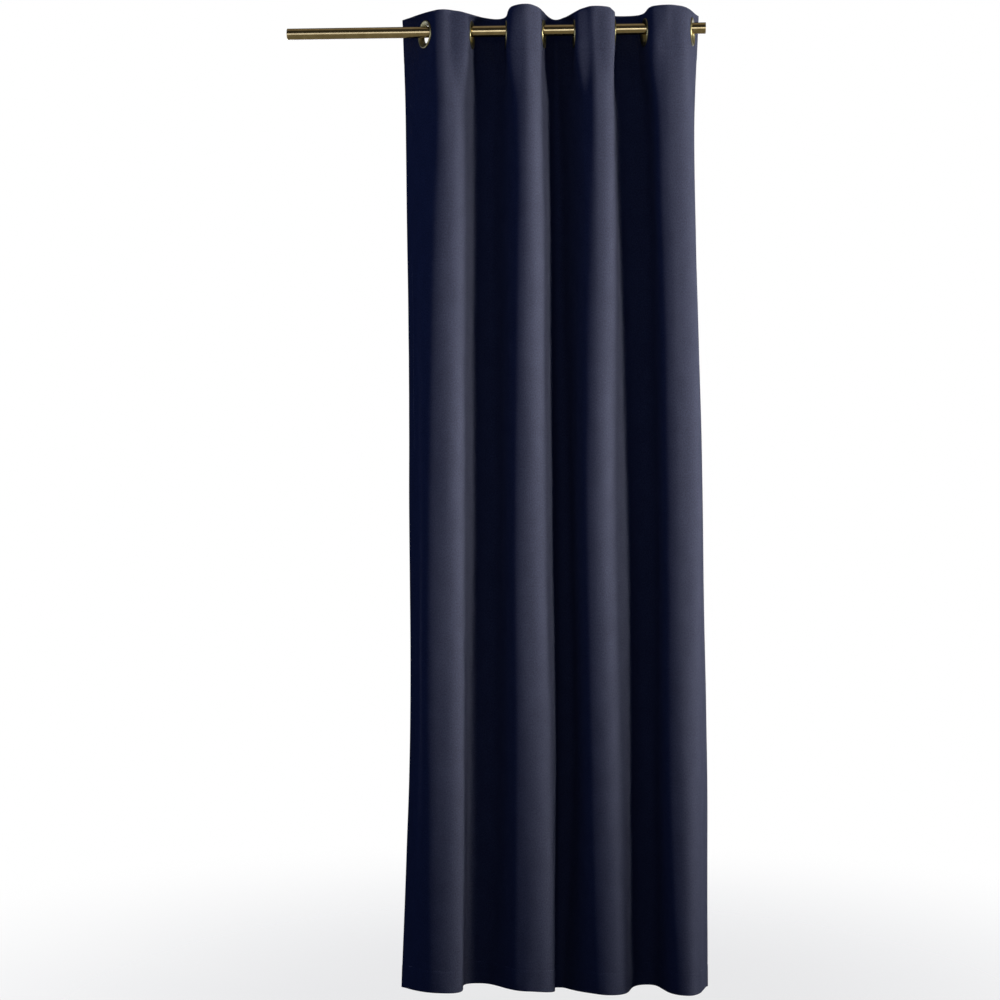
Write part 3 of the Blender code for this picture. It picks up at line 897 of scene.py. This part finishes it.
def make_world():
    """White to the eye, a cool weak fill on cloth, and a studio in the brass: a softbox level with
    the camera, dark above it, and paler overhead and on the floor."""
    world = bpy.data.worlds.new("studio")
    bpy.context.scene.world = world
    world.use_nodes = True
    nodes, links = world.node_tree.nodes, world.node_tree.links
    path = nodes.new("ShaderNodeLightPath")

    def sky(color, strength):
        background = nodes.new("ShaderNodeBackground")
        background.inputs["Color"].default_value = (*color, 1.0)
        background.inputs["Strength"].default_value = strength
        return background

    def choose(ray, otherwise, chosen):
        mix = nodes.new("ShaderNodeMixShader")
        links.new(path.outputs[ray], mix.inputs["Fac"])
        links.new(otherwise, mix.inputs[1])
        links.new(chosen, mix.inputs[2])
        return mix.outputs["Shader"]

    where = nodes.new("ShaderNodeTexCoord")
    apart = nodes.new("ShaderNodeSeparateXYZ")
    links.new(where.outputs["Generated"], apart.inputs["Vector"])
    rise = nodes.new("ShaderNodeMapRange")
    rise.inputs["From Min"].default_value = -1.0
    links.new(apart.outputs["Z"], rise.inputs["Value"])
    studio = sky((1.0, 1.0, 1.0), STUDIO_STRENGTH)
    ramp = ramp_node(nodes, links, rise.outputs["Result"], STUDIO_STOPS)
    links.new(ramp.outputs["Color"], studio.inputs["Color"])
    fill = sky(FILL_COLOR, FILL_STRENGTH).outputs["Background"]
    glossy = choose("Is Glossy Ray", fill, studio.outputs["Background"])
    seen = choose("Is Camera Ray", glossy, sky((1.0, 1.0, 1.0), 1.0).outputs["Background"])
    links.new(seen, nodes["World Output"].inputs["Surface"])


def make_floor():
    """A round pale floor under the hem that fades out into the white studio."""
    shape = bmesh.new()
    bmesh.ops.create_circle(shape, cap_ends=True, segments=FLOOR_SIDES, radius=FLOOR_RADIUS)
    mesh = bpy.data.meshes.new("floor")
    shape.to_mesh(mesh)
    shape.free()
    floor = bpy.data.objects.new("floor", mesh)
    bpy.context.scene.collection.objects.link(floor)
    floor.location = (0, 0, HEM - FLOOR_DROP)
    made, nodes, links, shader = new_material("pale floor")
    shader.inputs["Base Color"].default_value = (0.20, 0.18, 0.12, 1.0)
    shader.inputs["Roughness"].default_value = 0.8
    shader.inputs["Emission Color"].default_value = (1.0, 1.0, 1.0, 1.0)
    shader.inputs["Emission Strength"].default_value = 0.76
    where = nodes.new("ShaderNodeTexCoord")
    length = nodes.new("ShaderNodeVectorMath")
    length.operation = "LENGTH"
    links.new(where.outputs["Object"], length.inputs[0])
    fade = nodes.new("ShaderNodeMapRange")
    fade.interpolation_type = "SMOOTHSTEP"
    fade.inputs["From Min"].default_value = FLOOR_FADE_START
    fade.inputs["From Max"].default_value = FLOOR_FADE_END
    fade.inputs["To Min"].default_value = 1.0
    fade.inputs["To Max"].default_value = 0.0
    links.new(length.outputs["Value"], fade.inputs["Value"])
    links.new(fade.outputs["Result"], shader.inputs["Alpha"])
    path = nodes.new("ShaderNodeLightPath")
    dull = nodes.new("ShaderNodeBsdfDiffuse")
    dull.inputs["Color"].default_value = (0.03, 0.03, 0.03, 1.0)
    clear = nodes.new("ShaderNodeBsdfTransparent")
    surface = dull.outputs["BSDF"]
    for ray, chosen in (("Is Glossy Ray", clear), ("Is Camera Ray", shader)):
        mix = nodes.new("ShaderNodeMixShader")
        links.new(path.outputs[ray], mix.inputs["Fac"])
        links.new(surface, mix.inputs[1])
        links.new(chosen.outputs["BSDF"], mix.inputs[2])
        surface = mix.outputs["Shader"]
    links.new(surface, nodes["Material Output"].inputs["Surface"])
    mesh.materials.append(made)


def make_lights():
    for softbox in SOFTBOXES:
        data = bpy.data.lights.new(softbox.name, "AREA")
        data.shape = "RECTANGLE"
        data.size, data.size_y = softbox.size
        data.energy = softbox.power
        data.color = softbox.color
        data.spread = math.radians(softbox.spread)
        light = bpy.data.objects.new(softbox.name, data)
        bpy.context.scene.collection.objects.link(light)
        turn = math.radians(softbox.azimuth)
        place = (LIGHT_DISTANCE * math.sin(turn), -LIGHT_DISTANCE * math.cos(turn), softbox.height)
        light.location = place
        aim = Vector((0, 0, softbox.height)) - Vector(place)
        light.rotation_euler = aim.to_track_quat("-Z", "Z").to_euler()


def main():
    bpy.context.scene.view_settings.view_transform = "Standard"
    make_camera()
    make_world()
    make_floor()
    make_lights()
    velvet = velvet_material()
    cloth = make_cloth(velvet)
    hems = [
        make_side_hem("side_hem_left", 0.0, SIDE_HEM, velvet),
        make_side_hem("side_hem_right", CUT_WIDTH - SIDE_HEM, CUT_WIDTH, velvet),
    ]
    stitching = make_stitching(thread_material())
    eyelet_brass = brass_material("eyelet brass", (0.20, 0.17, 0.07), (0.32, 0.28, 0.13), 0.40, (1, 1, 1))
    rings = make_eyelets(eyelet_brass)
    make_rod(brass_material("rod brass", (0.33, 0.24, 0.10), (0.43, 0.32, 0.14), 0.17, (1, 1, 0.02)))


main()
